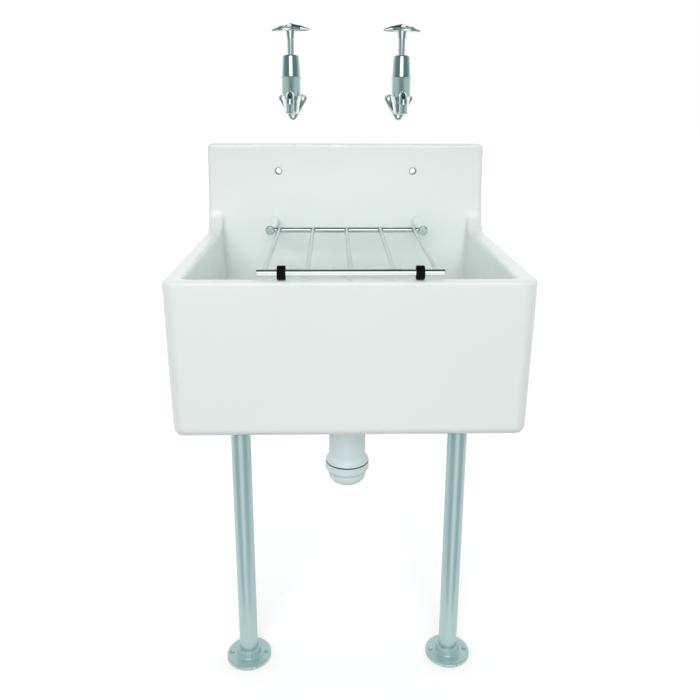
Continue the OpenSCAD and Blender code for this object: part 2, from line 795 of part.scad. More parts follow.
module tap_body(side) {
    plate_face = tap_reach - plate_seat;
    color(chrome_colour) at_tap(side) difference() {
        union() {
            barrel();
            rotate([-90, 0, 0]) cylinder(r = neck_out_r, h = plate_face);
            rotate([-90, 0, 0]) cylinder(r = tail_r + 2, h = plate_face - tail_washer_t);
            rotate([-90, 0, 0]) cylinder(r = tail_r, h = plate_face + tail_l);
            nozzle(nozzle_d / 2, 0, nozzle_tip_z);
            translate([0, -nozzle_reach, nozzle_tip_z]) cylinder(r = nozzle_d / 2 + 0.8, h = 3);
        }
        translate([0, 0, seat_z_tap + 2]) cylinder(r = chamber_r, h = barrel_h);
        translate([0, 0, seat_z_tap - 1]) cylinder(r = chamber_r - 1.5, h = barrel_h);
        translate([0, 0, seat_z_tap - 1]) cylinder(r = seat_bore_r + 2, h = 1 + eps);
        translate([0, 0, -6]) cylinder(r = seat_bore_r, h = barrel_h);
        rotate([-90, 0, 0]) cylinder(r = 6.5, h = plate_face + tail_l + 1);
        nozzle(nozzle_d / 2 - 1.5, chamber_r - 2, nozzle_tip_z - 1);
    }
}

// Screwed headwork that guides the spindle and holds its packing
module headwork(side) {
    neck_r_out = packing_r + 2.4;
    color(brass_colour) at_tap(side) difference() {
        union() {
            translate([0, 0, headwork_bottom])
                cylinder(r = chamber_r - screw_clear, h = barrel_h - headwork_bottom);
            translate([0, 0, barrel_h]) cylinder(r = flange_r - 0.3, h = 2);
            translate([0, 0, barrel_h]) cylinder(r = flange_r - 0.5, h = 9, $fn = 6);
            translate([0, 0, barrel_h]) cylinder(r = neck_r_out, h = packing_z + packing_h + 4 - barrel_h);
        }
        translate([0, 0, headwork_bottom - 1]) cylinder(r = thread_r + turn_clear, h = guide_z - headwork_bottom + 1);
        translate([0, 0, headwork_bottom - 1]) cylinder(r = spindle_d / 2 + turn_clear, h = cover_top);
        translate([0, 0, packing_z]) cylinder(r = packing_r, h = cover_top);
    }
}

module gland_packing(side) {
    color(rubber_colour) at_tap(side)
        ring(packing_r, spindle_d / 2 + turn_clear, packing_z, packing_z + packing_h);
}

module gland_nut(side) {
    head_z = packing_z + packing_h + 4;
    color(brass_colour) at_tap(side) difference() {
        union() {
            translate([0, 0, packing_z + packing_h])
                cylinder(r = packing_r - screw_clear, h = gland_top - packing_z - packing_h);
            translate([0, 0, head_z]) cylinder(r = packing_r + 2, h = gland_top - head_z, $fn = 6);
        }
        cylinder(r = spindle_d / 2 + turn_clear, h = cover_top);
    }
}

// Tapered cover over the headwork, with a foot ring that sits on the barrel
module cover(side) {
    bottom_r = barrel_d / 2 - 0.3;
    top_r = bottom_r - 1.9;
    shoulder = 3;
    skin = 1.5;
    color(chrome_colour) at_tap(side) difference() {
        rotate_extrude() {
            polygon([
                [spindle_d / 2 + 0.5, barrel_h], [cover_ring_r, barrel_h], [cover_ring_r, barrel_h + 2],
                [cover_ring_r - 0.6, barrel_h + 2.7], [bottom_r, barrel_h + 3], [top_r, cover_top - shoulder],
                [top_r - shoulder, cover_top], [spindle_d / 2 + 0.5, cover_top]]);
            translate([top_r - shoulder, cover_top - shoulder]) circle(shoulder);
        }
        translate([0, 0, barrel_h - 1]) cylinder(r = flange_r + 0.05, h = 11);
        translate([0, 0, barrel_h + 9.9])
            cylinder(r1 = flange_r + 0.05, r2 = top_r - skin, h = cover_h - 12.9 + eps);
        translate([0, 0, cover_top - 3.1]) cylinder(r = top_r - skin - 1, h = 1.4);
    }
}

// Threaded spindle, bored below for the jumper's stem and reduced above to a peg for the handle
module spindle(side) {
    color(chrome_colour) at_tap(side) difference() {
        union() {
            translate([0, 0, spindle_bottom]) cylinder(r = thread_r, h = thread_top - spindle_bottom);
            translate([0, 0, thread_top]) cylinder(d = spindle_d, h = hub_z + 2 - thread_top);
            translate([0, 0, hub_z + 2]) cylinder(r = peg_r, h = peg_top - hub_z - 2);
        }
        translate([0, 0, spindle_bottom - 1]) cylinder(r = stem_r + turn_clear, h = stem_l + 3);
        translate([0, 0, peg_top - 8]) cylinder(d = 4, h = 9, $fn = 24);
    }
}

// The dome on top of a crosshead
module crown() {
    translate([0, 0, hub_z + hub_h]) intersection() {
        translate([0, 0, crown_rise]) scale([1, 1, 1.08]) sphere(crown_r);
        cylinder(r = crown_r + 1, h = 2 * crown_r);
    }
}

// Crosshead: a tapered hub, a domed crown and four leaf-shaped arms
module handle(side) {
    arm_z = hub_z + hub_h + 6.5;
    root_r = 6;
    waist_r = 4.6;
    tip_r = 1.8;
    droop = 8;
    arm_l = (handle_span / 2 - tip_r) / cos(droop);
    color(chrome_colour) at_tap(side) rotate([0, 0, side * handle_turn]) difference() {
        union() {
            translate([0, 0, hub_z]) cylinder(r1 = hub_r - 1.8, r2 = hub_r, h = hub_h);
            crown();
            for (a = [0 : 90 : 270]) rotate([0, 0, a]) translate([0, 0, arm_z]) rotate([0, 90 + droop, 0]) {
                cylinder(r1 = root_r, r2 = waist_r, h = arm_l * 0.6);
                translate([0, 0, arm_l * 0.6]) cylinder(r1 = waist_r, r2 = tip_r, h = arm_l * 0.4);
                translate([0, 0, arm_l]) sphere(tip_r);
            }
        }
        translate([0, 0, hub_z - 1]) cylinder(d = spindle_d + 0.2, h = 3);
        translate([0, 0, hub_z + 1]) cylinder(r = peg_r + screw_clear, h = peg_top - hub_z - 1);
        translate([0, 0, peg_top - 1]) cylinder(d = 4.4, h = 12, $fn = 24);
        translate([0, 0, peg_top + 2]) cylinder(d = 9, h = 20, $fn = 32);
    }
}

module handle_screw(side) {
    color(steel_colour) at_tap(side) {
        translate([0, 0, peg_top + 2]) cylinder(d = 7.4, h = 2.6, $fn = 32);
        translate([0, 0, peg_top - 6]) cylinder(d = 3.8, h = 9, $fn = 24);
    }
}

module handle_cap(side) {
    base = peg_top + 4.8;
    color(chrome_colour) at_tap(side) intersection() {
        translate([0, 0, base]) cylinder(d = 8.8, h = 12);
        crown();
    }
}

module jumper(side) {
    color(brass_colour) at_tap(side) {
        translate([0, 0, jumper_z]) cylinder(r = 7.6, h = jumper_t);
        translate([0, 0, jumper_z]) cylinder(r = stem_r, h = jumper_t + stem_l);
        translate([0, 0, washer_z + 0.5]) cylinder(r = 2, h = washer_t, $fn = 32);
    }
}

module jumper_washer(side) {
    color(rubber_colour) at_tap(side) ring(7.4, 2, washer_z, jumper_z);
}

sink_body();
waste_body();
waste_seat_washer();
waste_under_washer();
waste_backnut();
trap_inlet_washer();
trap_inlet_nut();
trap_body();
trap_base_seal();
trap_cup();
trap_outlet_washer();
trap_outlet_nut();
leg(LEFT);  // left_leg
leg(RIGHT);  // right_leg
foot_flange(LEFT);  // left_foot_flange
foot_flange(RIGHT);  // right_foot_flange
head_flange(LEFT);  // left_head_flange
head_flange(RIGHT);  // right_head_flange
leg_pads();
leg_grub_screws();
post(LEFT);  // left_post
post(RIGHT);  // right_post
post_seal_washers();
post_back_washers();
post_nuts();
grating_back_bar();
grating_front_bar();
grating_rods();
grating_buffers();
wall_plate(LEFT);  // left_wall_plate
tail_washer(LEFT);  // left_tail_washer
tap_body(LEFT);  // left_tap_body
headwork(LEFT);  // left_headwork
gland_packing(LEFT);  // left_gland_packing
gland_nut(LEFT);  // left_gland_nut
cover(LEFT);  // left_cover
spindle(LEFT);  // left_spindle
handle(LEFT);  // left_handle
handle_screw(LEFT);  // left_handle_screw
handle_cap(LEFT);  // left_handle_cap
jumper(LEFT);  // left_jumper
jumper_washer(LEFT);  // left_jumper_washer
wall_plate(RIGHT);  // right_wall_plate
tail_washer(RIGHT);  // right_tail_washer
tap_body(RIGHT);  // right_tap_body
headwork(RIGHT);  // right_headwork
gland_packing(RIGHT);  // right_gland_packing
gland_nut(RIGHT);  // right_gland_nut
cover(RIGHT);  // right_cover
spindle(RIGHT);  // right_spindle
handle(RIGHT);  // right_handle
handle_screw(RIGHT);  // right_handle_screw
handle_cap(RIGHT);  // right_handle_cap
jumper(RIGHT);  // right_jumper
jumper_washer(RIGHT);  // right_jumper_washer
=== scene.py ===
import json
import math
import bmesh
import bpy
from mathutils import Matrix, Vector


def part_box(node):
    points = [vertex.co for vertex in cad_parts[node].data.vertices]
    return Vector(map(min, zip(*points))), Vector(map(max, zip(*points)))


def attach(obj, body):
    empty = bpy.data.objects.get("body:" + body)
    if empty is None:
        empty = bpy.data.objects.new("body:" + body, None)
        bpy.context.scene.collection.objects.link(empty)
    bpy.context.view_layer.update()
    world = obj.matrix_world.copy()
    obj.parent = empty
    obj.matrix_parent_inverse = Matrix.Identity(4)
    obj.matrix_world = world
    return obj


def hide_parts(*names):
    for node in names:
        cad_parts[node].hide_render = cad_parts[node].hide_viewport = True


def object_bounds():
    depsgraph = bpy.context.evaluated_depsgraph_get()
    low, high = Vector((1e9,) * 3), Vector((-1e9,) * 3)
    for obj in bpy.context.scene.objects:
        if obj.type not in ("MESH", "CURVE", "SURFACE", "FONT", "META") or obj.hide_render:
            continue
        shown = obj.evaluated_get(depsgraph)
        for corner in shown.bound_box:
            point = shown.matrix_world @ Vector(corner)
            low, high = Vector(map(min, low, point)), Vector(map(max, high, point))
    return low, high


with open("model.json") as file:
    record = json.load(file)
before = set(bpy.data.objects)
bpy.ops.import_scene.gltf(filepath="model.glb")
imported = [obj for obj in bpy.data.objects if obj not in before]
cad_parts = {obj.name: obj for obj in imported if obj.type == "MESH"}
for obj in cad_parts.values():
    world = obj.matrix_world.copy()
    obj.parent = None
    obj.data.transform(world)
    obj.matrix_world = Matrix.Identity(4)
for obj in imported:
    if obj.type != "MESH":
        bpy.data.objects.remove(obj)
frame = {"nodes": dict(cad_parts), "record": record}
cad_low, cad_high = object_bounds()
scene = bpy.context.scene
nodes = frame["nodes"]


# Camera
# A plain studio camera on a stand in front of the sink, a little above its rim and tipped down.
# The lens is moved down in its mount by 50 of the picture's 700 pixels, as the photograph is framed.
picture_px, focal_px, lowered_px = 700, 722, 50
tip, turn, roll = math.radians(15.40), math.radians(1.40), math.radians(0.22)
ahead = Vector((math.sin(turn) * math.cos(tip), math.cos(turn) * math.cos(tip), -math.sin(tip)))
level = Vector((math.cos(turn), -math.sin(turn), 0))
upright = level.cross(ahead)
across = level * math.cos(roll) + upright * math.sin(roll)
upright = upright * math.cos(roll) - level * math.sin(roll)
camera_data = bpy.data.cameras.new("studio_camera")
camera_data.sensor_width = 36
camera_data.lens = camera_data.sensor_width * focal_px / picture_px
camera_data.shift_y = -lowered_px / picture_px
camera_data.clip_end = 50
camera = bpy.data.objects.new("studio_camera", camera_data)
camera.matrix_world = Matrix((across, upright, -ahead)).transposed().to_4x4()
camera.location = (-0.0223, -1.2611, 0.1147)
scene.collection.objects.link(camera)
scene.camera = camera


# Studio
# A white sweep under and behind the sink, white in metal as well, with one big soft lamp in front and above.
# Beside and behind the camera the room is dark, with a narrow window of light in it, and chrome shows that
# as a bright stripe between two dark ones.
def math_node(tree, operation, a, b=None, c=None):
    node = tree.nodes.new("ShaderNodeMath")
    node.operation = operation
    for socket, value in zip(node.inputs, (a, b, c)):
        if value is None:
            continue
        if isinstance(value, (int, float)):
            socket.default_value = value
        else:
            tree.links.new(value, socket)
    return node.outputs[0]


def ramp_node(tree, factor, stops):
    node = tree.nodes.new("ShaderNodeValToRGB")
    tree.links.new(factor, node.inputs["Fac"])
    band = node.color_ramp
    while len(band.elements) < len(stops):
        band.elements.new(0.5)
    for element, (place, colour) in zip(band.elements, stops):
        element.position = place
        element.color = (*colour, 1)
    return node.outputs["Color"]


world = bpy.data.worlds.new("studio")
scene.world = world
world.use_nodes = True
sky = world.node_tree
sky.nodes.clear()
direction = sky.nodes.new("ShaderNodeTexCoord")
parts = sky.nodes.new("ShaderNodeSeparateXYZ")
sky.links.new(direction.outputs["Generated"], parts.inputs[0])
backwards = math_node(sky, "MULTIPLY", parts.outputs["Y"], -1.0)
bearing = math_node(sky, "ABSOLUTE", math_node(sky, "ARCTAN2", parts.outputs["X"], backwards))
turned = math_node(sky, "DIVIDE", bearing, math.pi)
room = ramp_node(sky, turned, [
    (0.000, (1.50, 1.52, 1.52)), (0.095, (1.35, 1.38, 1.38)), (0.130, (0.13, 0.22, 0.22)),
    (0.400, (0.11, 0.20, 0.20)), (0.600, (0.30, 0.43, 0.43)), (0.840, (1.00, 1.00, 1.00))])
benches = ramp_node(sky, turned, [
    (0.000, (0.15, 0.23, 0.23)), (0.070, (0.17, 0.26, 0.26)), (0.260, (0.38, 0.54, 0.53)),
    (0.600, (0.42, 0.57, 0.56)), (0.840, (1.00, 1.00, 1.00))])
carpet = ramp_node(sky, turned, [
    (0.000, (1.10, 1.12, 1.12)), (0.100, (1.00, 1.02, 1.02)), (0.150, (0.13, 0.21, 0.21)),
    (0.450, (0.20, 0.30, 0.30)), (0.600, (0.40, 0.50, 0.50)), (0.840, (1.00, 1.00, 1.00))])


def step_node(tree, value, low, high):
    node = tree.nodes.new("ShaderNodeMapRange")
    node.inputs["From Min"].default_value = low
    node.inputs["From Max"].default_value = high
    tree.links.new(value, node.inputs["Value"])
    return node.outputs["Result"]


def colour_mix(tree, factor, first, second):
    node = tree.nodes.new("ShaderNodeMix")
    node.data_type = "RGBA"
    tree.links.new(factor, node.inputs["Factor"])
    for socket, value in ((node.inputs["A"], first), (node.inputs["B"], second)):
        if isinstance(value, tuple):
            socket.default_value = (*value, 1)
        else:
            tree.links.new(value, socket)
    return node.outputs["Result"]


# From the top down, metal sees a paler patch overhead, a dark ceiling, the room, the benches and the carpet.
height = parts.outputs["Z"]
surroundings = colour_mix(sky, step_node(sky, height, 0.66, 0.80), room, (0.02, 0.04, 0.04))
surroundings = colour_mix(sky, step_node(sky, height, 0.960, 0.985), surroundings, (0.12, 0.16, 0.16))
surroundings = colour_mix(sky, step_node(sky, height, 0.10, 0.04), surroundings, benches)
surroundings = colour_mix(sky, step_node(sky, height, -0.05, -0.10), surroundings, carpet)
rays = sky.nodes.new("ShaderNodeLightPath")
reflected = sky.nodes.new("ShaderNodeBackground")
sky.links.new(surroundings, reflected.inputs["Color"])

# The light on everything else comes from soft walls, weak in front, strong behind, and a soft ceiling.
ambient = sky.nodes.new("ShaderNodeBackground")
front_glow = colour_mix(sky, step_node(sky, height, 0.25, 0.45), (0.74, 0.745, 0.745), (0.27, 0.27, 0.27))
wall_glow = colour_mix(sky, step_node(sky, backwards, -0.25, 0.25), (1.39, 1.40, 1.40), front_glow)
soft_light = colour_mix(sky, step_node(sky, height, 0.66, 0.84), wall_glow, (0.54, 0.545, 0.545))
sky.links.new(soft_light, ambient.inputs["Color"])
white = sky.nodes.new("ShaderNodeBackground")
white.inputs["Color"].default_value = (1, 1, 1, 1)
in_metal = sky.nodes.new("ShaderNodeMixShader")
sky.links.new(rays.outputs["Is Glossy Ray"], in_metal.inputs[0])
sky.links.new(ambient.outputs[0], in_metal.inputs[1])
sky.links.new(reflected.outputs[0], in_metal.inputs[2])
seen = math_node(sky, "MAXIMUM", rays.outputs["Is Camera Ray"], rays.outputs["Is Transmission Ray"])
in_view = sky.nodes.new("ShaderNodeMixShader")
sky.links.new(seen, in_view.inputs[0])
sky.links.new(in_metal.outputs[0], in_view.inputs[1])
sky.links.new(white.outputs[0], in_view.inputs[2])
sky.links.new(in_view.outputs[0], sky.nodes.new("ShaderNodeOutputWorld").inputs["Surface"])

floor_material = bpy.data.materials.new("white_sweep")
floor_material.use_nodes = True
tree = floor_material.node_tree
tree.nodes.clear()
lit = tree.nodes.new("ShaderNodeBsdfDiffuse")
lit.inputs["Color"].default_value = (0.62, 0.62, 0.62, 1)
glow = tree.nodes.new("ShaderNodeEmission")
# The paper glows a little more towards the back, where the lamp's light falls off.
where = tree.nodes.new("ShaderNodeSeparateXYZ")
tree.links.new(tree.nodes.new("ShaderNodeTexCoord").outputs["Object"], where.inputs[0])
far_off = step_node(tree, where.outputs["Y"], 0.1, 1.2)
tree.links.new(colour_mix(tree, far_off, (0.47, 0.47, 0.47), (0.63, 0.63, 0.63)), glow.inputs["Color"])
both = tree.nodes.new("ShaderNodeAddShader")
tree.links.new(lit.outputs[0], both.inputs[0])
tree.links.new(glow.outputs[0], both.inputs[1])
paper = tree.nodes.new("ShaderNodeEmission")
paper.inputs["Color"].default_value = (0.21, 0.21, 0.21, 1)
rays = tree.nodes.new("ShaderNodeLightPath")
shown = math_node(tree, "MAXIMUM", rays.outputs["Is Camera Ray"], rays.outputs["Is Transmission Ray"])
shown = math_node(tree, "MAXIMUM", shown, rays.outputs["Is Glossy Ray"])
choice = tree.nodes.new("ShaderNodeMixShader")
tree.links.new(shown, choice.inputs[0])
tree.links.new(paper.outputs[0], choice.inputs[1])
tree.links.new(both.outputs[0], choice.inputs[2])
tree.links.new(choice.outputs[0], tree.nodes.new("ShaderNodeOutputMaterial").inputs["Surface"])

# Metal shows the part of the floor that the picture shows, and in front of it the carpet.
ground, half_width, paper_edge = cad_low.z, 12, -0.45
for name, near, far, in_metal_too in (("studio_floor", paper_edge, 16, True),
                                      ("room_floor", -8, paper_edge, False)):
    floor_mesh = bpy.data.meshes.new(name)
    floor_mesh.from_pydata([(-half_width, near, ground), (half_width, near, ground),
                            (half_width, far, ground), (-half_width, far, ground)], [], [(0, 1, 2, 3)])
    floor_mesh.materials.append(floor_material)
    floor = bpy.data.objects.new(name, floor_mesh)
    floor.visible_glossy = in_metal_too
    scene.collection.objects.link(floor)


def soft_lamp(name, place, aim, size, watts):
    data = bpy.data.lights.new(name, "AREA")
    data.shape = "RECTANGLE"
    data.size, data.size_y = size
    data.energy = watts
    lamp = bpy.data.objects.new(name, data)
    lamp.location = place
    lamp.rotation_mode = "QUATERNION"
    lamp.rotation_quaternion = (Vector(place) - Vector(aim)).to_track_quat("Z", "Y")
    lamp.visible_glossy = False
    lamp.visible_camera = False
    scene.collection.objects.link(lamp)


soft_lamp("front_lamp", (-0.3, -4.2, 1.3), (0, -0.2, -0.1), (2.4, 1.8), 101)

scene.view_settings.view_transform = "Standard"


# Sink body
# One fireclay casting under a thick white glaze, fired in one piece and screwed to the wall.
# The glaze rounds every edge, pools very slightly in the corners and lies in long, shallow waves.
def finish_material(name):
    material = bpy.data.materials.new(name)
    material.use_nodes = True
    surface = material.node_tree.nodes["Principled BSDF"]
    return material, material.node_tree, surface


def object_place(tree):
    return tree.nodes.new("ShaderNodeTexCoord").outputs["Object"]


def noise_node(tree, place, scale, detail=3.0, stretch=None):
    if stretch:
        mapping = tree.nodes.new("ShaderNodeMapping")
        mapping.inputs["Scale"].default_value = stretch
        tree.links.new(place, mapping.inputs["Vector"])
        place = mapping.outputs["Vector"]
    node = tree.nodes.new("ShaderNodeTexNoise")
    node.inputs["Scale"].default_value = scale
    node.inputs["Detail"].default_value = detail
    tree.links.new(place, node.inputs["Vector"])
    return node.outputs["Fac"]


def relief(tree, surface, height, strength, distance):
    bump = tree.nodes.new("ShaderNodeBump")
    bump.inputs["Strength"].default_value = strength
    bump.inputs["Distance"].default_value = distance
    tree.links.new(height, bump.inputs["Height"])
    tree.links.new(bump.outputs["Normal"], surface.inputs["Normal"])


# The faint unevenness of a handled surface: a slow patchiness and a fine one, each as a value round 0.5.
worn = bpy.data.node_groups.new("handled_surface", "ShaderNodeTree")
worn.interface.new_socket("Place", in_out="INPUT", socket_type="NodeSocketVector")
for name, value in (("Patch Scale", 9.0), ("Fine Scale", 160.0)):
    worn.interface.new_socket(name, in_out="INPUT", socket_type="NodeSocketFloat").default_value = value
for name in ("Patch", "Fine"):
    worn.interface.new_socket(name, in_out="OUTPUT", socket_type="NodeSocketFloat")
given = worn.nodes.new("NodeGroupInput")
result = worn.nodes.new("NodeGroupOutput")
for name, scale, detail in (("Patch", "Patch Scale", 4.0), ("Fine", "Fine Scale", 2.0)):
    noise = worn.nodes.new("ShaderNodeTexNoise")
    noise.inputs["Detail"].default_value = detail
    worn.links.new(given.outputs["Place"], noise.inputs["Vector"])
    worn.links.new(given.outputs[scale], noise.inputs["Scale"])
    worn.links.new(noise.outputs["Fac"], result.inputs[name])


def handled(tree, patch_scale, fine_scale):
    node = tree.nodes.new("ShaderNodeGroup")
    node.node_tree = worn
    tree.links.new(object_place(tree), node.inputs["Place"])
    node.inputs["Patch Scale"].default_value = patch_scale
    node.inputs["Fine Scale"].default_value = fine_scale
    return node.outputs["Patch"], node.outputs["Fine"]


def between(tree, factor, low, high):
    node = tree.nodes.new("ShaderNodeMapRange")
    node.inputs["From Min"].default_value = 0.3
    node.inputs["From Max"].default_value = 0.7
    node.inputs["To Min"].default_value = low
    node.inputs["To Max"].default_value = high
    tree.links.new(factor, node.inputs["Value"])
    return node.outputs["Result"]


def two_tones(tree, factor, first, second):
    return ramp_node(tree, factor, [(0.35, first), (0.65, second)])


glaze, tree, surface = finish_material("white_glaze")
patch, fine = handled(tree, 3.0, 24.0)
glazed = two_tones(tree, patch, (0.828, 0.892, 0.868), (0.848, 0.908, 0.888))

# The bores of the two wall-fixing holes are painted near black, a painted shade for the shadow inside each
# hole; outside them the glaze keeps its colour.
fixings = next(mount for mount in frame["record"]["mounts"] if mount["name"] == "wall_fixings")
half_spacing = fixings["dims"]["spacing_x_mm"] / 2000
shade_fade_radius, shade_full_radius = 0.0066, 0.0059
front_face, bore_mouth = -0.0215, -0.0205
spot = tree.nodes.new("ShaderNodeSeparateXYZ")
tree.links.new(object_place(tree), spot.inputs[0])
sideways = math_node(tree, "SUBTRACT", math_node(tree, "ABSOLUTE", spot.outputs["X"]), half_spacing)
upwards_squared = math_node(tree, "MULTIPLY", spot.outputs["Z"], spot.outputs["Z"])
from_bore = math_node(tree, "SQRT", math_node(tree, "ADD", math_node(
    tree, "MULTIPLY", sideways, sideways), upwards_squared))
# Painted shade: full inside the bore's radius, fading to the glaze at its edge, from the bore's mouth
# inwards.
painted_bore_shade = math_node(tree, "MULTIPLY", step_node(tree, from_bore, shade_fade_radius, shade_full_radius),
                 step_node(tree, spot.outputs["Y"], front_face, bore_mouth))
tree.links.new(colour_mix(tree, painted_bore_shade, glazed, (0.12, 0.12, 0.11)), surface.inputs["Base Color"])
tree.links.new(between(tree, fine, 0.16, 0.24), surface.inputs["Roughness"])
surface.inputs["Coat Weight"].default_value = 0.5
surface.inputs["Coat Roughness"].default_value = 0.06
relief(tree, surface, fine, 0.10, 0.0012)


def softened(node, name, grid, rounds, keep):
    """A copy of a solid with its edges rounded off by about one grid step, as a casting's are."""
    same_point = 0.00002
    mesh = nodes[node].data.copy()
    work = bmesh.new()
    work.from_mesh(mesh)
    bmesh.ops.remove_doubles(work, verts=work.verts, dist=same_point)
    work.to_mesh(mesh)
    work.free()
    rough = bpy.data.objects.new(name + "_rough", mesh)
    scene.collection.objects.link(rough)
    remesh = rough.modifiers.new("cast", "REMESH")
    remesh.mode = "VOXEL"
    remesh.voxel_size = grid
    smooth = rough.modifiers.new("soften", "SMOOTH")
    smooth.factor = 0.5
    smooth.iterations = rounds
    thin = rough.modifiers.new("thin", "DECIMATE")
    thin.ratio = keep
    evaluated = rough.evaluated_get(bpy.context.evaluated_depsgraph_get())
    finished = bpy.data.meshes.new_from_object(evaluated)
    bpy.data.objects.remove(rough)
    piece = bpy.data.objects.new(name, finished)
    scene.collection.objects.link(piece)
    for face in finished.polygons:
        face.use_smooth = True
    finished.materials.clear()
    return piece


sink = softened("sink_body", "glazed_sink", grid=0.0022, rounds=3, keep=0.36)
sink.data.materials.append(glaze)
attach(sink, "sink")
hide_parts("sink_body")


def dress(names, material):
    for name in names:
        data = nodes[name].data
        data.materials.clear()
        data.materials.append(material)


# Waste
# A chromed brass grid and threaded tail through the bowl's floor, held from below by a brass backnut.
# A rubber washer seals it on each side of the fireclay.
chrome, tree, surface = finish_material("chrome_plate")
patch, fine = handled(tree, 14.0, 420.0)
tree.links.new(two_tones(tree, patch, (0.78, 0.83, 0.83), (0.84, 0.88, 0.88)), surface.inputs["Base Color"])
surface.inputs["Metallic"].default_value = 1.0
tree.links.new(between(tree, fine, 0.05, 0.10), surface.inputs["Roughness"])
relief(tree, surface, patch, 0.04, 0.0004)

brass, tree, surface = finish_material("turned_brass")
turning = noise_node(tree, object_place(tree), 30.0, 4.0, (1.0, 1.0, 40.0))
tree.links.new(two_tones(tree, turning, (0.60, 0.44, 0.20), (0.72, 0.56, 0.29)), surface.inputs["Base Color"])
surface.inputs["Metallic"].default_value = 1.0
tree.links.new(between(tree, turning, 0.25, 0.42), surface.inputs["Roughness"])
relief(tree, surface, turning, 0.10, 0.0002)

rubber, tree, surface = finish_material("black_rubber")
patch, fine = handled(tree, 60.0, 900.0)
soot = two_tones(tree, patch, (0.002, 0.002, 0.002), (0.004, 0.004, 0.004))
tree.links.new(soot, surface.inputs["Base Color"])
tree.links.new(between(tree, fine, 0.50, 0.72), surface.inputs["Roughness"])
surface.inputs["Specular IOR Level"].default_value = 0.12
relief(tree, surface, fine, 0.25, 0.0002)

dress(["waste_body"], chrome)
dress(["waste_backnut"], brass)
dress(["waste_seat_washer", "waste_under_washer"], rubber)


# Bottle trap
# Moulded in pale blue-grey plastic: a body with a screwed-on cup below, and a nut at each end.
# It hangs from the waste's tail; the mould leaves a fine matt bloom over the gloss.
plastic, tree, surface = finish_material("trap_plastic")
patch, fine = handled(tree, 12.0, 600.0)
moulded = two_tones(tree, patch, (0.740, 0.866, 0.876), (0.765, 0.891, 0.901))

# The seam over the cup's collar, which is 1.4 mm high, is painted dark: a painted shadow for the gap between
# body and cup.
seam_gap = 0.0014
seam_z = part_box("trap_cup")[1].z + seam_gap / 2
spot = tree.nodes.new("ShaderNodeSeparateXYZ")
tree.links.new(object_place(tree), spot.inputs[0])
from_seam = math_node(tree, "ABSOLUTE", math_node(tree, "SUBTRACT", spot.outputs["Z"], seam_z))
# Painted shadow of the seam, mixed into the plastic's colour.
tree.links.new(colour_mix(tree, step_node(tree, from_seam, 0.0014, 0.0008), moulded, (0.09, 0.12, 0.13)),
               surface.inputs["Base Color"])
tree.links.new(between(tree, fine, 0.30, 0.42), surface.inputs["Roughness"])
relief(tree, surface, fine, 0.12, 0.00015)

dress(["trap_body", "trap_cup", "trap_inlet_nut", "trap_outlet_nut"], plastic)
dress(["trap_inlet_washer", "trap_base_seal", "trap_outlet_washer"], rubber)


# Legs
# Two steel tubes in a satin grey-green finish, drawn lengthwise so that fine lines run down them.
# Each stands in a turned floor flange and is held under the sink by another, over a rubber pad.
satin, tree, surface = finish_material("satin_tube_finish")
place = object_place(tree)
drawn = noise_node(tree, place, 220.0, 3.0, (1.0, 1.0, 0.012))
patch = noise_node(tree, place, 11.0, 4.0)
mixed = math_node(tree, "MULTIPLY_ADD", drawn, 0.65, math_node(tree, "MULTIPLY", patch, 0.35))
tree.links.new(two_tones(tree, mixed, (0.460, 0.635, 0.635), (0.520, 0.700, 0.700)),
               surface.inputs["Base Color"])
surface.inputs["Metallic"].default_value = 0.45
tree.links.new(between(tree, drawn, 0.26, 0.38), surface.inputs["Roughness"])
relief(tree, surface, drawn, 0.08, 0.0002)

steel, tree, surface = finish_material("polished_steel")
patch, fine = handled(tree, 20.0, 500.0)
tree.links.new(two_tones(tree, patch, (0.52, 0.57, 0.57), (0.60, 0.65, 0.65)), surface.inputs["Base Color"])
surface.inputs["Metallic"].default_value = 1.0
tree.links.new(between(tree, fine, 0.12, 0.20), surface.inputs["Roughness"])
relief(tree, surface, fine, 0.05, 0.0002)

for side in ("left", "right"):
    dress([side + "_leg", side + "_foot_flange", side + "_head_flange"], satin)
dress(["leg_pads"], rubber)
dress(["leg_grub_screws"], steel)


# Bucket grating and its posts
# Five polished steel rods welded between two bars; the front bar is chromed and wears two rubber buffers.
# The back bar turns in two chromed posts, which are bolted through the splashback. Each rod is one straight
# length that swells into an uneven bead of weld where it meets a bar.
rod_tree = bpy.data.node_groups.new("welded_rods", "GeometryNodeTree")
rod_tree.interface.new_socket("Rods", in_out="OUTPUT", socket_type="NodeSocketGeometry")
rod_sockets = {}
for name, kind in (("Rod Count", "Int"), ("First Rod", "Vector"), ("Rod Step", "Vector"),
                   ("Back End", "Vector"), ("Front End", "Vector"), ("Rod Radius", "Float"),
                   ("Bar Radius", "Float"), ("Bead Reach", "Float"), ("Bead Swell", "Float"),
                   ("Bead Roughness", "Float"), ("Bead Seed", "Float"), ("Finish", "Material")):
    rod_sockets[name] = rod_tree.interface.new_socket(name, in_out="INPUT", socket_type="NodeSocket" + kind)
given = rod_tree.nodes.new("NodeGroupInput").outputs


def rod_node(kind, links, output=0, **settings):
    """A node of the rods' tree: its inputs by name or number, and the output that the next node reads."""
    node = rod_tree.nodes.new(kind)
    for name, value in settings.items():
        setattr(node, name, value)
    for name, value in links.items():
        if isinstance(value, bpy.types.NodeSocket):
            rod_tree.links.new(value, node.inputs[name])
        else:
            node.inputs[name].default_value = value
    return node.outputs[output]


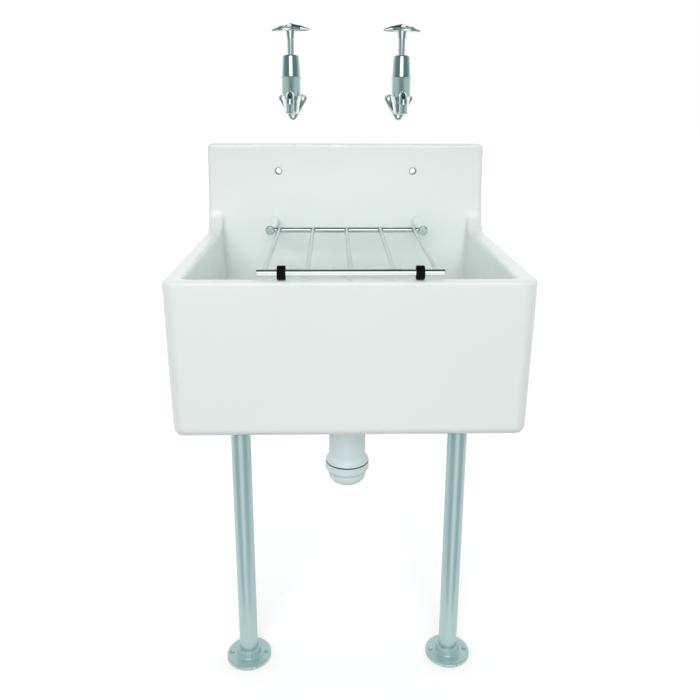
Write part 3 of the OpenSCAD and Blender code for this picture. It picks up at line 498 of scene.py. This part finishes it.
# How far a point lies from the nearer bar's middle line, and from that how much of it is weld
span = rod_node("ShaderNodeVectorMath", {0: given["Front End"], 1: given["Back End"]}, operation="SUBTRACT")
length = rod_node("ShaderNodeVectorMath", {0: span}, "Value", operation="LENGTH")
point = rod_node("GeometryNodeInputPosition", {})
reached = rod_node("ShaderNodeVectorMath", {0: point, 1: given["Back End"]}, operation="SUBTRACT")
ahead_of_back = math_node(rod_tree, "DIVIDE", rod_node(
    "ShaderNodeVectorMath", {0: reached, 1: span}, "Value", operation="DOT_PRODUCT"), length)
short_of_front = math_node(rod_tree, "SUBTRACT", length, ahead_of_back)
from_bar = math_node(rod_tree, "MINIMUM", ahead_of_back, short_of_front)
from_weld = math_node(rod_tree, "SUBTRACT", from_bar, given["Bar Radius"])
bead = rod_node("ShaderNodeMapRange", {
    "Value": from_weld, "From Max": given["Bead Reach"], "To Min": 1.0, "To Max": 0.0},
    "Result", interpolation_type="SMOOTHSTEP")

# One rod: a line between the two bars, its points crowded towards the ends, with a round section swept on it
points_on_rod, sides_of_section = 81, 28
straight = rod_node("GeometryNodeCurvePrimitiveLine", {"Start": given["Back End"], "End": given["Front End"]})
spaced = rod_node("GeometryNodeResampleCurve", {"Curve": straight, "Count": points_on_rod})
share = rod_node("GeometryNodeSplineParameter", {}, "Factor")
crowded = math_node(rod_tree, "MULTIPLY_ADD", math_node(rod_tree, "COSINE", math_node(
    rod_tree, "MULTIPLY", share, math.pi)), -0.5, 0.5)
shifted = rod_node("ShaderNodeVectorMath", {0: span, "Scale": crowded}, operation="SCALE")
laid = rod_node("ShaderNodeVectorMath", {0: shifted, 1: given["Back End"]}, operation="ADD")
core = rod_node("GeometryNodeSetPosition", {"Geometry": spaced, "Position": laid})
section = rod_node("GeometryNodeCurvePrimitiveCircle", {
    "Resolution": sides_of_section, "Radius": given["Rod Radius"]})
girth = math_node(rod_tree, "MULTIPLY_ADD", bead, given["Bead Swell"], 1.0)
rod = rod_node("GeometryNodeCurveToMesh", {"Curve": core, "Profile Curve": section, "Scale": girth,
                                           "Fill Caps": True})

# The row of rods, and the ripples of each weld, which differ from rod to rod
row = rod_node("GeometryNodeMeshLine", {"Count": given["Rod Count"], "Start Location": given["First Rod"],
                                        "Offset": given["Rod Step"]})
set_out = rod_node("GeometryNodeInstanceOnPoints", {"Points": row, "Instance": rod})
joined = rod_node("GeometryNodeRealizeInstances", {"Geometry": set_out})
ripple = rod_node("ShaderNodeTexNoise", {
    "Vector": point, "W": given["Bead Seed"], "Scale": 700.0, "Detail": 1.0}, noise_dimensions="4D")
lift = math_node(rod_tree, "MULTIPLY", math_node(rod_tree, "SUBTRACT", ripple, 0.5), math_node(
    rod_tree, "MULTIPLY", bead, given["Bead Roughness"]))
outward = rod_node("ShaderNodeVectorMath", {0: rod_node("GeometryNodeInputNormal", {}), "Scale": lift},
                   operation="SCALE")
welded = rod_node("GeometryNodeSetPosition", {"Geometry": joined, "Offset": outward})
smooth = rod_node("GeometryNodeSetShadeSmooth", {"Geometry": welded})
finished = rod_node("GeometryNodeSetMaterial", {"Geometry": smooth, "Material": given["Finish"]})
rod_tree.links.new(finished, rod_tree.nodes.new("NodeGroupOutput").inputs["Rods"])

back_low, back_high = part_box("grating_back_bar")
front_low, front_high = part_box("grating_front_bar")
rods_low, rods_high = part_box("grating_rods")
rod_count, rod_radius, weld_overlap = 5, 0.003, 0.0006
rod_step = (rods_high.x - rods_low.x - 2 * rod_radius) / (rod_count - 1)
back_line, front_line = (back_low + back_high) / 2, (front_low + front_high) / 2
blank = bpy.data.objects.new("rods_blank", bpy.data.meshes.new("rods_blank"))
scene.collection.objects.link(blank)
maker = blank.modifiers.new("welded_rods", "NODES")
maker.node_group = rod_tree
bar_radius = (front_high.z - front_low.z) / 2
for name, value in (("Rod Count", rod_count), ("First Rod", (rods_low.x + rod_radius, 0.0, 0.0)),
                    ("Rod Step", (rod_step, 0.0, 0.0)), ("Back End", (0.0, back_line.y, back_line.z)),
                    ("Front End", (0.0, front_line.y, front_line.z)), ("Rod Radius", rod_radius),
                    ("Bar Radius", bar_radius - weld_overlap), ("Bead Reach", 0.0042), ("Bead Swell", 0.34),
                    ("Bead Roughness", 0.0009), ("Bead Seed", 3.0), ("Finish", steel)):
    maker[rod_sockets[name].identifier] = value
rods_mesh = bpy.data.meshes.new_from_object(blank.evaluated_get(bpy.context.evaluated_depsgraph_get()))
bpy.data.objects.remove(blank)
rods = bpy.data.objects.new("welded_rods", rods_mesh)
scene.collection.objects.link(rods)
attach(rods, "grating")
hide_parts("grating_rods")


dress(["left_post", "right_post", "grating_front_bar", "grating_back_bar"], chrome)
dress(["post_back_washers", "post_nuts"], steel)
dress(["grating_buffers"], rubber)

nylon, tree, surface = finish_material("white_nylon")
patch, fine = handled(tree, 80.0, 700.0)
tree.links.new(two_tones(tree, patch, (0.76, 0.77, 0.75), (0.82, 0.83, 0.81)), surface.inputs["Base Color"])
tree.links.new(between(tree, fine, 0.40, 0.55), surface.inputs["Roughness"])

dress(["post_seal_washers"], nylon)


# Taps
# A pair of chromed brass bib taps, each screwed to the wall by a three-lobed plate. The spindle, its
# crosshead and the jumper inside rise together as the tap opens; packing and washers are hidden.
fibre, tree, surface = finish_material("brown_fibre")
patch, fine = handled(tree, 90.0, 900.0)
tree.links.new(two_tones(tree, patch, (0.10, 0.07, 0.06), (0.15, 0.10, 0.08)), surface.inputs["Base Color"])
tree.links.new(between(tree, fine, 0.6, 0.8), surface.inputs["Roughness"])

for side in ("left", "right"):
    dress([side + "_wall_plate", side + "_tap_body", side + "_cover", side + "_spindle", side + "_handle",
           side + "_handle_cap"], chrome)
    dress([side + "_headwork", side + "_gland_nut", side + "_jumper"], brass)
    dress([side + "_gland_packing", side + "_jumper_washer"], rubber)
    dress([side + "_handle_screw"], steel)
    dress([side + "_tail_washer"], fibre)
